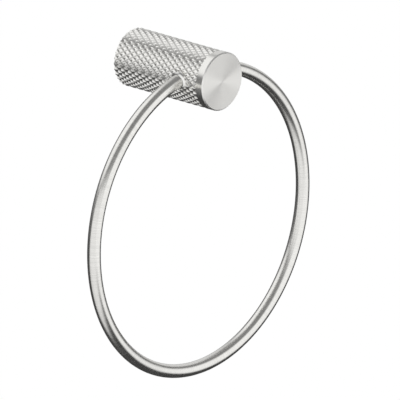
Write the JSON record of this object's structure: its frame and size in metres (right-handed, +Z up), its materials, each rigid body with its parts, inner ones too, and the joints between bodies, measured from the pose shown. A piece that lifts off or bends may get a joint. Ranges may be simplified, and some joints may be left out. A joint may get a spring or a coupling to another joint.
{
  "type": "towel ring",
  "caption": "Wall-mounted towel ring: a round metal ring held fixed through a knurled round post.",
  "frame": {"origin": "centre of the post's end face, on the wall plane and on the post's axis", "axes": "+Z up, +Y into the wall; the post reaches along -Y and the ring hangs down in a plane parallel to the wall"},
  "size_m": [0.165, 0.0605, 0.1747],
  "materials": {
    "post_steel": "turned and knurled, satin nickel look",
    "ring_steel": "brushed round the rod, satin nickel look",
    "screw_steel": "plain machined",
    "bracket_steel": "plain turned"
  },
  "bodies": {
    "root": {"post_body": "post_steel", "ring": "ring_steel", "ring_lock_screws": "screw_steel", "wall_bracket": "bracket_steel", "bracket_grub_screw": "screw_steel"}
  },
  "joints": []
}
